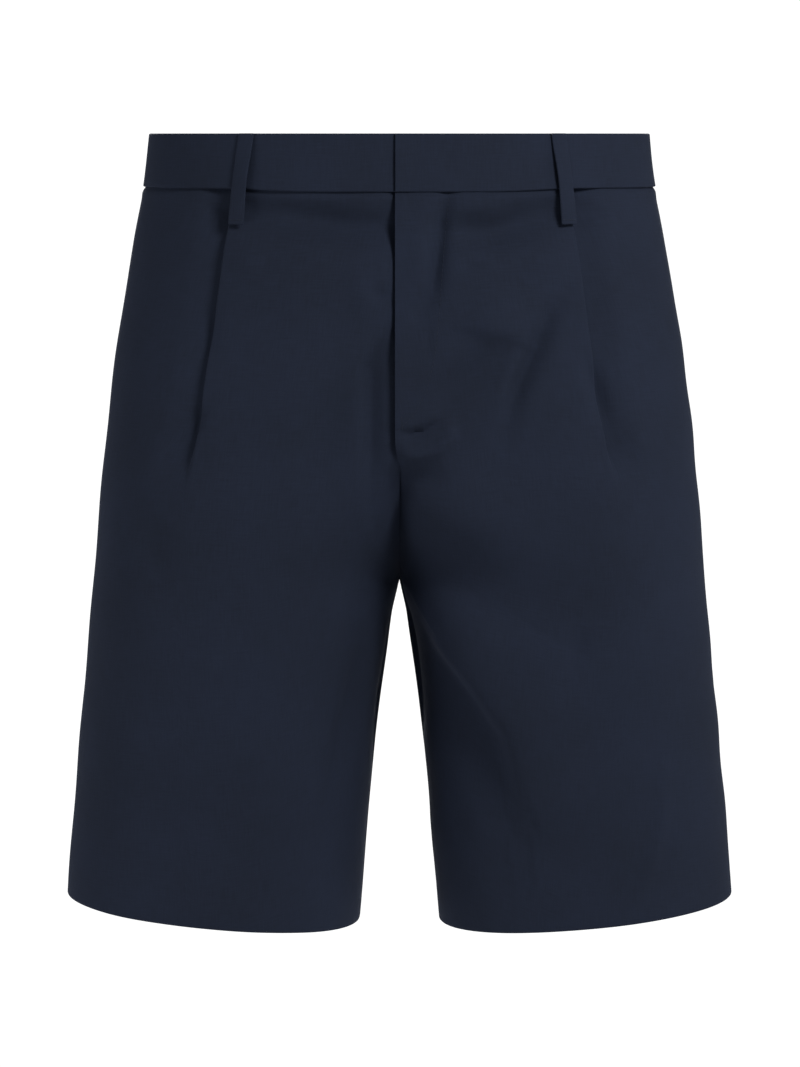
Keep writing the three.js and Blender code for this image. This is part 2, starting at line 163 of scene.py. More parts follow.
def woven_cloth(name, dark, light):
    """A woven cloth whose threads follow the piece's own UV map, in metres."""
    material = bpy.data.materials.new(name)
    material.use_nodes = True
    tree = material.node_tree
    shader = tree.nodes["Principled BSDF"]
    place = put_node(tree, "ShaderNodeUVMap", uv_map="cut")
    body = put_node(tree, "ShaderNodeTexCoord")
    slubs = []
    for across, along in ((SLUB_WIDTH, SLUB_LENGTH), (SLUB_LENGTH, SLUB_WIDTH)):
        size = put_node(tree, "ShaderNodeMapping", [("Vector", place.outputs["UV"])],
                        scale=(1 / (across * MM), 1 / (along * MM), 1))
        slubs.append(put_node(tree, "ShaderNodeTexNoise", [("Vector", size.outputs["Vector"])],
                              scale=1.0, detail=2.0, roughness=0.6))
    weave = put_node(tree, "ShaderNodeMath",
                     [(0, slubs[0].outputs["Fac"]), (1, slubs[1].outputs["Fac"])], operation="ADD")
    cloud = put_node(tree, "ShaderNodeTexNoise", [("Vector", body.outputs["Object"])],
                     scale=1 / (CLOUD_SIZE * MM), detail=3.0)
    shade = put_node(tree, "ShaderNodeMath", [(0, weave.outputs[0]), (1, cloud.outputs["Fac"])],
                     operation="ADD")
    spread = put_node(tree, "ShaderNodeMapRange", [("Value", shade.outputs[0])],
                      from_min=SHADE_RANGE[0], from_max=SHADE_RANGE[1])
    colour = put_node(tree, "ShaderNodeMix", [("Factor", spread.outputs["Result"])],
                      data_type="RGBA")
    colour.inputs[6].default_value = linear(dark)
    colour.inputs[7].default_value = linear(light)
    relief = put_node(tree, "ShaderNodeBump", [("Height", weave.outputs[0])],
                      strength=0.5, distance=SLUB_RELIEF * MM)
    tree.links.new(colour.outputs[2], shader.inputs["Base Color"])
    tree.links.new(relief.outputs["Normal"], shader.inputs["Normal"])
    shader.inputs["Roughness"].default_value = CLOTH_ROUGHNESS
    shader.inputs["Specular IOR Level"].default_value = CLOTH_SHINE
    shader.inputs["Sheen Weight"].default_value = SHEEN_WEIGHT
    shader.inputs["Sheen Roughness"].default_value = SHEEN_ROUGHNESS
    shader.inputs["Sheen Tint"].default_value = linear(SHEEN)
    return material


navy_cloth = woven_cloth("navy_woven_cotton_wool", NAVY, NAVY_LIGHTER)


# The form of the shorts
# One half of the garment at some heights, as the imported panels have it: reach to the side and,
# on a leg, towards the other leg, where the side seam lies in depth, reach from there to the
# front and back, and squareness. Every piece of cloth lies on this form.
FORM_COLUMNS = ("height", "outer", "inner", "middle", "front", "back", "square")
FORM = [
    (4, 160.8, 0, 0, 113.5, 113, 2.12),
    (-36, 165.2, 0, 0, 117, 118, 2.2),
    (-69, 171.6, 0, 1, 120, 124, 2.3),
    (-107, 178.4, 0, 3, 123, 130, 2.42),
    (-159, 186.1, 0, 5, 123.5, 135, 2.52),
    (-209, 191.7, 0, 7, 121, 132, 2.54),
    (-250, 195.7, 0, 8, 117, 125, 2.5),
    (-286.5, 198.8, 0, 9, 113, 117, 2.46),
    (-310, 200.9, 5.0, 9, 110, 112.5, 2.43),
    (-340, 203.7, 9.3, 9, 106, 107, 2.4),
    (-380, 207.3, 14.7, 8.5, 100, 100.5, 2.35),
    (-420, 210.8, 18.9, 8, 94.5, 95, 2.28),
    (-460, 214.3, 22.3, 8, 89, 90, 2.22),
    (-506, 217.9, 26.2, 8, 84, 86, 2.15),
]
BAND_HEIGHT = 36.0
FORK_HEIGHT = -286.5
FORK_ROWS_START = -200.0
HEM_HEIGHT = -502.4
WAIST_LEAN_BACK = 0.035
HEM_LEAN_BACK = 0.045
HEM_LEAN_SIDE = 0.093
LEAN_START = -205.0
SEAM_GAP = 0.06
SEAM_RISE = 1.8
SEAM_RISE_START = 55.0
SEAM_RISE_WIDTH = 60.0
CROTCH_COLUMNS = ("start", "onset", "bow")
CROTCH = {"front": (-110.0, 4.5, 1.2), "back": (-60.0, 3.4, 1.3)}
SECTION_STEPS = 360
LEG_ROWS_WIDEN = 1.1
TOP_STEPS = np.array([-2.0, 0.0, 0.5, 1.1, 1.9, 2.9, 4.2, 5.8, 7.6])
EDGE_STEPS = np.array([0.0, 0.35, 0.8, 1.4, 2.2, 3.2])


def ease(value):
    """A smooth step from 0 to 1."""
    t = np.clip(value, 0.0, 1.0)
    return t * t * (3 - 2 * t)


def form_value(column, height):
    """One column of the form's table at a height, on a smooth curve through its rows."""
    c = FORM_COLUMNS.index(column)
    last = len(FORM) - 1
    i = 0
    while i < last - 1 and height < FORM[i + 1][0]:
        i += 1
    span = FORM[i + 1][0] - FORM[i][0]
    slopes = []
    for k in (i, i + 1):
        low, high = FORM[max(k - 1, 0)], FORM[min(k + 1, last)]
        slopes.append((high[c] - low[c]) / (high[0] - low[0]))
    t = (height - FORM[i][0]) / span
    bend = (1 + 2 * t) * (1 - t) ** 2 * FORM[i][c] + t * t * (3 - 2 * t) * FORM[i + 1][c]
    return bend + span * (t * (1 - t) ** 2 * slopes[0] - t * t * (1 - t) * slopes[1])


def section_line(height, face, cut):
    """The form's section from its inner edge to the side seam: points, and lengths along it."""
    outer, square = form_value("outer", height), form_value("square", height)
    centre = (outer + form_value("inner", height)) / 2
    if height > FORK_HEIGHT:
        shape = dict(zip(CROTCH_COLUMNS, CROTCH[face]))
        way = max((shape["start"] - height) / (shape["start"] - FORK_HEIGHT), 0.0)
        reach = (1 - way ** shape["onset"]) ** (1 / shape["bow"])
        across = (1 - reach ** square) ** (1 / square)
        centre = outer * across / (1 + across)
    half, power = outer - centre, 2 / square
    share = (cut - centre) / half
    whole = height <= FORK_HEIGHT
    start = math.pi if whole else math.acos(math.copysign(abs(share) ** (1 / power), share))
    angle = np.linspace(start, 0.0, SECTION_STEPS)
    turn = np.cos(angle)
    x = np.maximum(centre + half * np.sign(turn) * np.abs(turn) ** power, cut)
    middle = form_value("middle", height)
    depth = form_value(face, height) * (-1 if face == "front" else 1)
    y = middle + depth * np.maximum(np.sin(angle), 0.0) ** power
    lean_side = HEM_LEAN_SIDE * ease((LEAN_START - height) / (LEAN_START - HEM_HEIGHT))
    lean_back = WAIST_LEAN_BACK + (HEM_LEAN_BACK - WAIST_LEAN_BACK) * height / HEM_HEIGHT
    near_seam = 1 - ease(abs(height + BAND_HEIGHT) / BAND_HEIGHT)
    rise = SEAM_RISE * near_seam * ease((x - SEAM_RISE_START) / SEAM_RISE_WIDTH)
    z = height + rise + lean_side * (x - centre) + lean_back * (y - middle)
    points = np.stack([x, y, z], axis=1)
    steps_between = np.linalg.norm(np.diff(points, axis=0), axis=1)
    lengths = np.concatenate([[0.0], np.cumsum(steps_between)])
    return points, lengths, SEAM_GAP / 2 if whole else 0.0


def along(points, lengths, wanted, inward=0.0):
    """Points at lengths along a section, moved level into the garment by inward."""
    found = np.stack([np.interp(wanted, lengths, points[:, k]) for k in range(3)], axis=1)
    ahead = np.stack([np.interp(wanted + 1.0, lengths, points[:, k]) for k in range(2)], axis=1)
    behind = np.stack([np.interp(wanted - 1.0, lengths, points[:, k]) for k in range(2)], axis=1)
    way = ahead - behind
    way /= np.linalg.norm(way, axis=1)[:, None]
    inside = np.stack([-way[:, 1], way[:, 0], np.zeros(len(way))], axis=1)
    return found + inside * np.reshape(inward, (-1, 1))


def unit(vectors):
    """The same directions with a length of one."""
    return vectors / np.maximum(np.linalg.norm(vectors, axis=-1, keepdims=True), 1e-9)


def outward_ways(grid, face):
    """The outward direction at each point of a grid of rows that go down and to the side."""
    across = unit(np.diff(grid, axis=1))
    across = unit(np.concatenate([across[:, :1], across], axis=1)
                  + np.concatenate([across, across[:, -1:]], axis=1))
    down = unit(np.diff(grid, axis=0))
    down = unit(np.concatenate([down[:1], down], axis=0)
                + np.concatenate([down, down[-1:]], axis=0))
    return unit(np.cross(across, down)) * (-1 if face == "front" else 1)


def row_heights(seat_rows, fork_rows, leg_rows):
    """Heights of a panel's rows from inside the waist seam, close at the seam and the fork."""
    seam = -BAND_HEIGHT - TOP_STEPS
    seat = np.linspace(seam[-1], FORK_ROWS_START, seat_rows, endpoint=False)[1:]
    turn = np.sin(math.pi / 2 * np.arange(fork_rows) / fork_rows)
    fork = FORK_ROWS_START + (FORK_HEIGHT - FORK_ROWS_START) * turn
    way_down = (np.arange(leg_rows + 1) / leg_rows) ** LEG_ROWS_WIDEN
    leg = FORK_HEIGHT + (HEM_HEIGHT - FORK_HEIGHT) * way_down
    return np.concatenate([seam, seat, fork, leg])


def spaced(first, last, count, fine_start, fine_end):
    """Lengths from first to last, with close steps at an edge that rolls into a seam."""
    head = EDGE_STEPS if fine_start else np.array([0.0])
    tail = EDGE_STEPS[::-1] if fine_end else np.array([0.0])
    middle = np.linspace(first + head[-1], last - tail[0], count)
    return np.concatenate([first + head[:-1], middle, last - tail[1:]])


# The folds of worn cloth
# Soft creases where the cloth hangs from the waist, pulls at the fly and turns under at the
# fork. Each row is a path in the front or back view, the half width, how much of that width the
# side to the left of the path has, and the depth, where below 0 is a trough.
FOLD_COLUMNS = ("panel", "path", "half_width", "left_share", "depth")
FOLDS = [
    ("left_front", ((31, -37), (26, -58), (23.5, -80), (21, -101), (12, -116)), 4.6, 1.3, -6.0),
    ("left_front", ((18.5, -120), (18, -144)), 2.6, 1, -1.2),
    ("left_front", ((14, -44), (11, -72), (8, -102)), 7, 1, 1.6),
    ("left_front", ((22, -64), (60, -63), (104, -50)), 13, 0.8, -10.0),
    ("left_front", ((38, -50), (56, -49)), 3, 1, 1.0),
    ("left_front", ((37, -86), (50, -84)), 3, 1, -1.4),
    ("left_front", ((40, -116), (58, -125), (79, -126)), 8, 2.3, 5.5),
    ("left_front", ((78, -68), (98, -82), (104, -100)), 14, 1, 1.6),
    ("left_front", ((103, -104), (93, -116), (85, -138), (75, -158), (70, -174), (64, -192)),
     7, 1, -6.5),
    ("left_front", ((78, -138), (66, -156), (60, -180)), 6.5, 1, 2.2),
    ("left_front", ((72, -140), (48, -150), (34, -162), (22, -180)), 11, 1, -4.8),
    ("left_front", ((-1, -189), (8, -191), (16, -189), (26, -183)), 3.2, 1, -4.8),
    ("left_front", ((2, -202), (12, -203), (24, -199), (32, -191), (31, -184)), 4, 1, 4.2),
    ("left_front", ((2, -216), (14, -220), (30, -214)), 8, 1, -5.0),
    ("left_front", ((114, -53), (135, -52)), 2.8, 1, -1.8),
    ("left_front", ((114, -58), (137, -57)), 3, 1, 1.2),
    ("left_front", ((8, -222), (44, -242), (82, -258)), 28, 1, 6.0),
    ("left_front", ((2, -258), (36, -286), (66, -304), (98, -307)), 15, 2, -7.0),
    ("left_front", ((12, -296), (30, -325), (53, -354), (71, -378), (80, -412), (82, -440)),
     9, 4.5, 7.0),
    ("left_front", ((2, -300), (18, -336), (41, -366), (56, -388), (64, -420), (67, -446)),
     27, 0.45, -7.0),
    ("left_front", ((34, -432), (43, -458)), 7, 1, -1.8),
    ("left_front", ((112, -308), (113, -326), (108, -344)), 6, 1, -2.0),
    ("left_front", ((168, -395), (167, -440), (160, -466), (148, -492)), 4.5, 1, 1.8),
    ("left_front", ((118, -146), (124, -166), (128, -184)), 5, 1, -4.8),
    ("left_front", ((128, -192), (127, -218)), 6, 1, -1.4),
    ("right_front", ((108, -50), (62, -56), (32, -60), (-10, -62)), 10, 1.3, -10.0),
    ("right_front", ((102, -76), (88, -90)), 9, 1, 1.8),
    ("right_front", ((132, -66), (122, -82)), 9, 1, 1.4),
    ("right_front", ((30, -86), (22, -104), (26, -122)), 8, 1, 2.0),
    ("right_front", ((5, -107), (20, -100)), 5, 1, -2.0),
    ("right_front", ((6, -130), (17, -150), (17.5, -192), (16.5, -246)), 13, 0.42, -7.0),
    ("right_front", ((28, -150), (30, -200), (30, -236)), 9, 1, 1.2),
    ("right_front", ((121, -172), (126, -182), (128, -194)), 4, 1, -3.0),
    ("right_front", ((114, -112), (119, -142)), 4.5, 1, -1.6),
    ("right_front", ((144, -161), (127, -158)), 7, 1, 1.4),
    ("right_front", ((146, -246), (157, -262), (152, -284)), 13, 1, -4.0),
    ("right_front", ((16, -262), (20, -290), (22, -312)), 9, 1, -4.5),
    ("right_front", ((17, -300), (26, -356), (38, -412), (47, -474)), 13, 0.8, -7.5),
    ("right_front", ((34, -163), (45, -185), (58, -206)), 11, 1, -2.0),
    ("right_front", ((110, -50), (127, -46)), 3, 1, -1.6),
    ("left_back", ((10, -246), (56, -288), (118, -316)), 13, 1, -2.6),
    ("left_back", ((16, -300), (44, -350), (64, -430)), 12, 1, -2.2),
    ("left_back", ((30, -80), (70, -98), (118, -104)), 12, 1, -1.3),
    ("left_back", ((26, -276), (70, -312), (108, -330)), 8, 1, 1.0),
    ("left_back", ((8, -50), (46, -58), (92, -50)), 7, 1, -1.0),
    ("right_back", ((12, -252), (54, -298), (106, -330)), 12, 1, -2.4),
    ("right_back", ((18, -310), (38, -360), (56, -450)), 12, 1, -2.0),
    ("right_back", ((34, -72), (80, -92), (124, -94)), 12, 1, -1.2),
    ("right_back", ((30, -300), (62, -330), (96, -342)), 8, 1, 0.9),
    ("right_back", ((12, -54), (52, -60), (88, -52)), 7, 1, -0.9),
]
FOLD_END_SHARE = 0.25
UNEVEN_COLUMNS = ("size", "heading", "height", "start")
UNEVEN_WAVES = [(83, 0.4, 0.3, 0.3), (47, 1.9, 0.15, 2.1), (61, 5.1, 0.25, 1.2)]
UNEVEN_STARTS = {"left_front": 0.0, "right_front": 1.3, "left_back": 2.2, "right_back": 3.9}


def fold_share(fold, x, z):
    """The share of a fold's depth at points: full on its path, less beside it and at its ends."""
    share = np.zeros_like(x)
    path = fold["path"]
    pieces = len(path) - 1
    for k in range(pieces):
        (ax, az), (bx, bz) = path[k], path[k + 1]
        run_x, run_z = bx - ax, bz - az
        t = np.clip(((x - ax) * run_x + (z - az) * run_z) / (run_x ** 2 + run_z ** 2), 0, 1)
        off_x, off_z = x - ax - t * run_x, z - az - t * run_z
        on_left = run_x * off_z - run_z * off_x > 0
        width = fold["half_width"] * np.where(on_left, fold["left_share"], 1.0)
        off = np.hypot(off_x, off_z) / width
        strength = FOLD_END_SHARE + (1 - FOLD_END_SHARE) * np.sin(math.pi * (k + t) / pieces)
        share = np.maximum(share, strength * np.exp(-off * off))
    return share


def fold_reach(panel, grid):
    """How far a panel's folds and its slight unevenness move each point outwards."""
    x, z = grid[..., 0], grid[..., 2]
    reach = np.zeros_like(x)
    for row in FOLDS:
        fold = dict(zip(FOLD_COLUMNS, row))
        if fold["panel"] == panel:
            reach += fold["depth"] * fold_share(fold, x, z)
    turn = UNEVEN_STARTS[panel]
    for row in UNEVEN_WAVES:
        wave = dict(zip(UNEVEN_COLUMNS, row))
        heading = wave["heading"] + turn
        way = x * math.cos(heading) + z * math.sin(heading)
        reach += wave["height"] * np.sin(2 * math.pi * way / wave["size"] + wave["start"] + turn)
    return reach


# A wall of cloth
# Woven cloth has two faces and a cut or folded edge, so each piece is a closed wall about the
# middle of the cloth, with a UV map that says where each point lies on the flat cut.
SHARP_TURN = 55.0


def piece_from(name, points, faces, flat, side, sharp_turn):
    """A piece of cloth from points in mm, mirrored for the wearer's right, with its cut as UV."""
    if side < 0:
        faces = [corners[::-1] for corners in faces]
    mesh = bpy.data.meshes.new(name)
    mesh.from_pydata((points * np.array([side, 1, 1]) * MM).tolist(), [], faces)
    corners = np.zeros(len(mesh.loops), dtype=np.int32)
    mesh.loops.foreach_get("vertex_index", corners)
    mesh.uv_layers.new(name="cut").data.foreach_set("uv", (flat * MM)[corners].ravel())
    mesh.polygons.foreach_set("use_smooth", np.ones(len(mesh.polygons), dtype=bool))
    mesh.set_sharp_from_angle(angle=math.radians(sharp_turn))
    mesh.materials.append(navy_cloth)
    made = bpy.data.objects.new(name, mesh)
    bpy.context.collection.objects.link(made)
    return made


def quads(a, b, c, d):
    """Faces with four corners from four grids of vertex numbers."""
    return np.stack([a.ravel(), b.ravel(), c.ravel(), d.ravel()], axis=1)


def wall_piece(name, grid, face, side, thickness, flat_u, flat_v):
    """A closed wall about a grid of mid-cloth points."""
    ways = outward_ways(grid, face)
    rows, columns = grid.shape[:2]
    points = np.concatenate([(grid + ways * thickness / 2).reshape(-1, 3),
                             (grid - ways * thickness / 2).reshape(-1, 3)])
    index = np.arange(rows * columns).reshape(rows, columns)
    under = index + rows * columns
    faces = np.concatenate([
        quads(index[:-1, :-1], index[1:, :-1], index[1:, 1:], index[:-1, 1:]),
        quads(under[:-1, :-1], under[:-1, 1:], under[1:, 1:], under[1:, :-1]),
        quads(index[:-1, 0], under[:-1, 0], under[1:, 0], index[1:, 0]),
        quads(index[:-1, -1], index[1:, -1], under[1:, -1], under[:-1, -1]),
        quads(index[0, :-1], index[0, 1:], under[0, 1:], under[0, :-1]),
        quads(index[-1, :-1], under[-1, :-1], under[-1, 1:], index[-1, 1:]),
    ])
    if face == "back":
        faces = faces[:, ::-1]
    flat = np.stack([flat_u.ravel(), flat_v.ravel()], axis=1)
    return piece_from(name, points, faces.tolist(), np.concatenate([flat, flat]), side, SHARP_TURN)


def dress(piece, *nodes):
    """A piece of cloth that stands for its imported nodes."""
    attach(piece, "root")
    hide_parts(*nodes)


# The front panels
# Each front is one cut with a pleat under its belt loop, folded towards the side and pressed
# shut to the hip, where it opens out. The left front's fly edge laps over the right front. The
# edges roll into their seams, and the hem is turned up inside the leg.
CLOTH_WALL = 0.6
FLY_LAP = 2.5
FLY_UNDERLAP = 9.0
FLY_FOOT = -188.0
FLY_FADE = 24.0
FLY_LIFT = 0.9
FLY_SINK = 3.6
FLY_SINK_WIDTH = 13.0
FLY_LIFT_WIDTH = 14.0
PLEAT_COLUMNS = ("at_waist", "slant")
PLEATS = {"left_front": (105.0, 0.147), "right_front": (103.0, 0.148)}
PLEAT_DEPTH = 14.0
PLEAT_SHALLOWEST = 0.8
PLEAT_SHUT = -168.0
PLEAT_OPEN = -226.0
PLEAT_RADIUS = 1.2
PLEAT_CLEAR = 2.0
PLEAT_STEP_WIDTH = 26.0
PLEAT_ARC_PARTS = 8
PLEAT_RUN_PARTS = 3
PLEAT_EDGE_COLUMNS = 3
TO_PLEAT_COLUMNS = 66
FROM_PLEAT_COLUMNS = 40
SEAM_ROLL = 0.8
SEAM_ROLL_WIDTH = 1.3
LEG_SEAM_START = 20.0
SEAM_HOLD = 6.0
VALLEY_DEPTH = {"left_front": 9.0, "right_front": 6.0}
VALLEY_WIDTH = 8.0
VALLEY_TOP = -196.0
VALLEY_RUN = 30.0
SEAM_CLOSE_HEIGHT = 6.0
SEAM_CLOSE_WIDTH = 9.0
SEAM_PRESS = 0.2
TOP_DIP = 1.0
TOP_DIP_WIDTH = 1.6
TOP_SWELL = 0.35
TOP_SWELL_PLACE = 4.4
TOP_SWELL_WIDTH = 1.9
HEM_TURN = 32.0
HEM_RADIUS = 0.55
HEM_TURN_PARTS = 6
PANEL_ROWS = {"seat_rows": 62, "fork_rows": 36, "leg_rows": 84}


def pleat_steps(depth, turn):
    """Steps along and into the cloth through the pleat: a turn under, a run back, a turn out."""
    arc = PLEAT_RADIUS * math.pi / PLEAT_ARC_PARTS
    headings = [turn * (k + 0.5) / PLEAT_ARC_PARTS for k in range(PLEAT_ARC_PARTS)]
    runs = [arc] * PLEAT_ARC_PARTS + [depth / PLEAT_RUN_PARTS] * PLEAT_RUN_PARTS
    runs = np.array(runs + [arc] * PLEAT_ARC_PARTS)
    ways = np.array(headings + [turn] * PLEAT_RUN_PARTS + headings[::-1])
    return np.cumsum(runs * np.cos(ways)), np.cumsum(runs * np.sin(ways)), np.cumsum(runs)


def front_row(name, height, cut):
    """A front at a height: mid-cloth points, their place on the cut, and distances to its edges."""
    points, lengths, trim = section_line(height, "front", cut)
    pleat_height = max(height, PLEAT_OPEN)
    top_points, top_lengths = section_line(pleat_height, "front", cut)[:2]
    pleat = dict(zip(PLEAT_COLUMNS, PLEATS[name]))
    pleat_x = pleat["at_waist"] + pleat["slant"] * (-BAND_HEIGHT - pleat_height)
    from_side = top_lengths[-1] - np.interp(pleat_x, top_points[:, 0], top_lengths)
    fold = lengths[-1] - from_side
    turn = math.pi * ease((height - PLEAT_OPEN) / (PLEAT_SHUT - PLEAT_OPEN))
    deep = max((height - PLEAT_SHUT) / (-BAND_HEIGHT - PLEAT_SHUT), 0.0)
    across, inward, used = pleat_steps(max(PLEAT_DEPTH * deep, PLEAT_SHALLOWEST), turn)
    clear = max(fold, fold + across[-1]) + PLEAT_CLEAR
    inner_part = spaced(trim, fold, TO_PLEAT_COLUMNS, True, False)
    outer_part = spaced(clear, lengths[-1] - SEAM_GAP / 2, FROM_PLEAT_COLUMNS, False, True)
    step = inward[-1] * (1 - ease((outer_part - clear) / PLEAT_STEP_WIDTH))
    wanted = np.concatenate([inner_part, fold + across, outer_part])
    depths = np.concatenate([np.zeros(len(inner_part)), inward, step])
    flat = np.concatenate([inner_part - fold, used, used[-1] + outer_part - fold - across[-1]])
    return along(points, lengths, wanted, depths), flat, wanted - trim, lengths[-1] - wanted


def steady_ways(ways):
    """Outward directions held steady across the pleat, where the cloth itself turns over."""
    first = len(EDGE_STEPS) + TO_PLEAT_COLUMNS - PLEAT_EDGE_COLUMNS
    last = first + 2 * PLEAT_ARC_PARTS + PLEAT_RUN_PARTS + PLEAT_EDGE_COLUMNS
    share = ((np.arange(first, last + 1) - first) / (last - first))[None, :, None]
    held = ways.copy()
    before, after = ways[:, first:first + 1], ways[:, last:last + 1]
    held[:, first:last + 1] = unit(before * (1 - share) + after * share)
    return held


def turned_hem(grid, ways):
    """Rows added below a panel's last one: the fold of the hem and the turned-up layer."""
    down = unit(grid[-1] - grid[-2])
    turns = [math.pi * (k + 1) / HEM_TURN_PARTS for k in range(HEM_TURN_PARTS)]
    fold = [grid[-1] + down * HEM_RADIUS * math.sin(a) - ways[-1] * HEM_RADIUS * (1 - math.cos(a))
            for a in turns]
    rise = np.linalg.norm(np.diff(grid[::-1], axis=0), axis=-1).mean(axis=1).cumsum()
    layer = [grid[-2 - k] - ways[-2 - k] * 2 * HEM_RADIUS
             for k in range(int(np.searchsorted(rise, HEM_TURN)))]
    return np.concatenate([grid, np.array(fold), np.array(layer)])


def down_lengths(grid):
    """How far down the flat cut each point is."""
    runs = np.linalg.norm(np.diff(grid, axis=0), axis=-1)
    return np.concatenate([np.zeros((1, grid.shape[1])), np.cumsum(runs, axis=0)])


def fly_share(grid):
    """1 along the fly and 0 below its foot."""
    return ease((grid[..., 2] - FLY_FOOT + FLY_FADE) / FLY_FADE)


def leg_panel(name, face, side, heights, rows):
    """A panel of cloth from its rows of points, their flat places and distances to its edges."""
    plain, flat_u, from_centre, from_side = (np.array([row[k] for row in rows]) for k in range(4))
    ways = outward_ways(plain, face)
    if face == "front":
        ways = steady_ways(ways)
    fly = fly_share(plain) if face == "front" else np.zeros(plain.shape[:2])
    held = np.maximum(ease(from_centre / SEAM_HOLD), fly) * ease(from_side / SEAM_HOLD)
    out = fold_reach(name, plain) * held - CLOTH_WALL / 2
    below_seam = (-BAND_HEIGHT - heights)[:, None]
    out -= TOP_DIP * np.exp(-(np.maximum(below_seam, 0) / TOP_DIP_WIDTH) ** 2)
    out += TOP_SWELL * np.exp(-((below_seam - TOP_SWELL_PLACE) / TOP_SWELL_WIDTH) ** 2)
    on_leg = ease((FORK_HEIGHT - heights) / LEG_SEAM_START)[:, None]
    centre_roll = np.maximum((1 - np.abs(ways[..., 0])) * (1 - fly), on_leg)
    out -= SEAM_ROLL * centre_roll * np.exp(-(from_centre / SEAM_ROLL_WIDTH) ** 2)
    out -= SEAM_ROLL * np.exp(-(from_side / SEAM_ROLL_WIDTH) ** 2)
    if name == "left_front":
        out += FLY_LIFT * fly * (1 - ease((plain[..., 0] + FLY_LAP) / FLY_LIFT_WIDTH))
    if name == "right_front":
        out -= FLY_SINK * fly * (1 - ease((plain[..., 0] + FLY_LAP) / FLY_SINK_WIDTH))
    grid = plain + ways * out[..., None]
    if face == "front":
        in_valley = (ease((VALLEY_TOP - heights) / VALLEY_RUN) * (1 - on_leg[:, 0]))[:, None]
        grid[..., 1] += VALLEY_DEPTH[name] * in_valley * np.exp(-(from_centre / VALLEY_WIDTH) ** 2)
    seam_x = plain[:, :1, 0] + CLOTH_WALL / 2 * np.abs(ways[:, :1, 0]) - SEAM_PRESS
    joined = ease((heights - FORK_HEIGHT) / SEAM_CLOSE_HEIGHT + 1)[:, None]
    grid[..., 0] += joined * (seam_x - grid[:, :1, 0]) * np.exp(-from_centre / SEAM_CLOSE_WIDTH)
    hemmed = turned_hem(grid, outward_ways(grid, face))
    flat_u = np.concatenate([flat_u, np.repeat(flat_u[-1:], len(hemmed) - len(grid), axis=0)])
    flat_v = down_lengths(hemmed)
    panel = wall_piece(name + "_cloth", hemmed, face, side, CLOTH_WALL, flat_u, flat_v)
    dress(panel, name)
    return panel


def fly_cut(height, side):
    """Where a front's centre edge is: past the middle on both sides along the fly."""
    lap = FLY_LAP if side > 0 else FLY_UNDERLAP
    return SEAM_GAP / 2 - lap * float(ease((height - FLY_FOOT + FLY_FADE) / FLY_FADE))


panel_heights = row_heights(**PANEL_ROWS)
for name, side in (("left_front", 1), ("right_front", -1)):
    rows = [front_row(name, height, fly_cut(height, side)) for height in panel_heights]
    front = leg_panel(name, "front", side, panel_heights, rows)
    if side > 0:
        left_front = front


# The back panels
# Each back is one plain cut, fuller than the front over the seat, sewn to the other back along
# the seat seam and to its front along the side and inside leg. The hem is turned up as in front.
BACK_COLUMNS = 84


def back_row(height):
    """A back at a height: mid-cloth points, their place on the cut, and distances to its edges."""
    points, lengths, trim = section_line(height, "back", SEAM_GAP / 2)
    wanted = spaced(trim, lengths[-1] - SEAM_GAP / 2, BACK_COLUMNS, True, True)
    flat = wanted - lengths[-1] / 2
    return along(points, lengths, wanted), flat, wanted - trim, lengths[-1] - wanted


for name, side in (("left_back", 1), ("right_back", -1)):
    rows = [back_row(height) for height in panel_heights]
    back = leg_panel(name, "back", side, panel_heights, rows)


# The waistband
# A band 36 mm high at the front, folded along its top edge over a fused stiffening and sewn on
# over the panels' top edges. It is cut in two halves with a seam at the back, and its left end
# laps over the right one at the front.
BAND_WALL = 2.0
BAND_PROUD = 0.5
BAND_TURN_PARTS = 6
BAND_FACE_ROWS = 14
BAND_COLUMNS = 240
BAND_UNDERLAP = 14.0
BAND_SINK = 1.5
BAND_WAVE = 0.25
BAND_WAVE_LENGTH = 140.0
BAND_SHARP_TURN = 60.0
DIMPLE = {"x": 30.4, "z": -18.0, "half_width": 3.0, "depth": 0.5}


def band_profile():
    """The band's section as (height, outward) pairs: its face, top fold, inside and lower edge."""
    radius = BAND_WALL / 2
    middle = BAND_PROUD - radius
    low, high = -BAND_HEIGHT + radius, -radius
    faces = np.linspace(low, high, BAND_FACE_ROWS)
    turns = np.linspace(0, math.pi, BAND_TURN_PARTS + 1)[1:-1]
    profile = [(height, middle + radius) for height in faces]
    profile += [(high + radius * math.sin(a), middle + radius * math.cos(a)) for a in turns]
    profile += [(height, middle - radius) for height in faces[::-1]]
    profile += [(low - radius * math.sin(a), middle - radius * math.cos(a)) for a in turns]
    return profile


def band_ring(height, front_cut):
    """Points of the form round half the waist at a height, and the length along them."""
    front_points, front_lengths = section_line(height, "front", front_cut)[:2]
    back_points, back_lengths = section_line(height, "back", SEAM_GAP / 2)[:2]
    points = np.concatenate([front_points, back_points[-2::-1]])
    whole = front_lengths[-1] + back_lengths[-1]
    lengths = np.concatenate([front_lengths, whole - back_lengths[-2::-1]])
    wanted = spaced(0.0, lengths[-1], BAND_COLUMNS, True, True)
    return along(points, lengths, wanted), wanted


